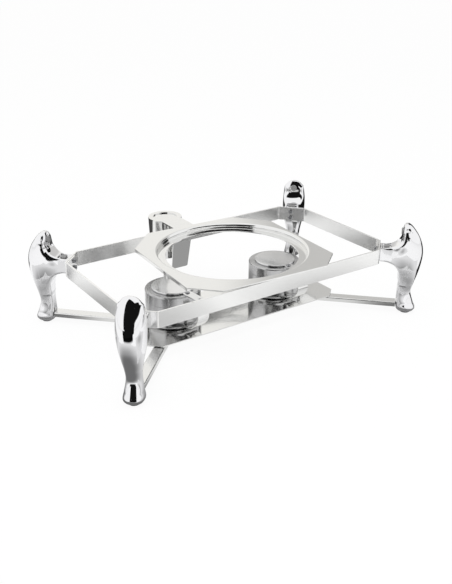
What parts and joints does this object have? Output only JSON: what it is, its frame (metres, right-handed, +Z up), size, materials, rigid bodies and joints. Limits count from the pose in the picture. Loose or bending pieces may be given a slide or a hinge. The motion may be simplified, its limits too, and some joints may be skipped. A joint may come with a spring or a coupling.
{
  "type": "chafing dish stand",
  "caption": "Low steel frame on cast legs with a loose ring plate over a tray that holds lidded fuel burners, and a small rear shelf on a round cup.",
  "frame": {"origin": "centre of the bounding box in plan, on the table plane under the feet", "axes": "+X along the long bars, +Y from the front bar to the rear shelf, +Z up"},
  "size_m": [0.581, 0.4286, 0.163],
  "materials": {
    "cast_chrome": "polished",
    "polished_steel": "polished",
    "brushed_steel": "brushed",
    "screw_steel": "plain",
    "tinplate": "satin",
    "grey_rubber": "matt",
    "black_rubber": "matt",
    "fuel_gel": "satin"
  },
  "bodies": {
    "stand": {"long_bar_front": "polished_steel", "long_bar_back": "polished_steel", "short_bar_right": "polished_steel", "short_bar_left": "polished_steel", "leg_front": "cast_chrome", "foot_pad_front": "black_rubber", "arm_pad_front": "grey_rubber", "head_plug_front": "grey_rubber", "corner_screw_front_lower": "screw_steel", "corner_screw_front_upper": "screw_steel", "stretcher_front": "polished_steel", "foot_screw_front": "screw_steel", "leg_right": "cast_chrome", "foot_pad_right": "black_rubber", "arm_pad_right": "grey_rubber", "head_plug_right": "grey_rubber", "corner_screw_right_lower": "screw_steel", "corner_screw_right_upper": "screw_steel", "stretcher_right": "polished_steel", "foot_screw_right": "screw_steel", "leg_back": "cast_chrome", "foot_pad_back": "black_rubber", "arm_pad_back": "grey_rubber", "head_plug_back": "grey_rubber", "corner_screw_back_lower": "screw_steel", "corner_screw_back_upper": "screw_steel", "stretcher_back": "polished_steel", "foot_screw_back": "screw_steel", "leg_left": "cast_chrome", "foot_pad_left": "black_rubber", "arm_pad_left": "grey_rubber", "head_plug_left": "grey_rubber", "corner_screw_left_lower": "screw_steel", "corner_screw_left_upper": "screw_steel", "stretcher_left": "polished_steel", "foot_screw_left": "screw_steel", "tray": "polished_steel", "bracket_rivet_left": "screw_steel", "bracket_rivet_right": "screw_steel", "rear_bracket": "polished_steel", "rear_cup": "polished_steel"},
    "ring": {"ring_plate": "polished_steel", "ring_wall": "polished_steel", "ring_ledge": "polished_steel"},
    "burner_left": {"burner_cup_left": "brushed_steel", "burner_handle_left": "polished_steel", "fuel_can_left": "tinplate", "fuel_gel_left": "fuel_gel"},
    "collar_left": {"burner_collar_left": "brushed_steel", "lid_pivot_left": "screw_steel"},
    "lid_left": {"burner_lid_left": "brushed_steel"},
    "burner_right": {"burner_cup_right": "brushed_steel", "burner_handle_right": "polished_steel", "fuel_can_right": "tinplate", "fuel_gel_right": "fuel_gel"},
    "collar_right": {"burner_collar_right": "brushed_steel", "lid_pivot_right": "screw_steel"},
    "lid_right": {"burner_lid_right": "brushed_steel"}
  },
  "joints": [
    {"name": "ring_lift", "type": "slide", "parent": "stand", "child": "ring", "axis": [0, 0, 1], "range_m": [0, 0.06]},
    {"name": "burner_left_out", "type": "slide", "parent": "stand", "child": "burner_left", "axis": [0, -1, 0], "range_m": [0, 0.2]},
    {"name": "collar_left_lift", "type": "slide", "parent": "burner_left", "child": "collar_left", "axis": [0, 0, 1], "range_m": [0, 0.016]},
    {"name": "lid_left_swing", "type": "hinge", "parent": "collar_left", "child": "lid_left", "pos_m": [-0.1032, -0.06884, 0.0814], "axis": [0, 0, 1], "range_deg": [0, 100]},
    {"name": "burner_right_out", "type": "slide", "parent": "stand", "child": "burner_right", "axis": [0, -1, 0], "range_m": [0, 0.2]},
    {"name": "collar_right_lift", "type": "slide", "parent": "burner_right", "child": "collar_right", "axis": [0, 0, 1], "range_m": [0, 0.016]},
    {"name": "lid_right_swing", "type": "hinge", "parent": "collar_right", "child": "lid_right", "pos_m": [0.10269, -0.06913, 0.0814], "axis": [0, 0, 1], "range_deg": [0, 100]}
  ]
}
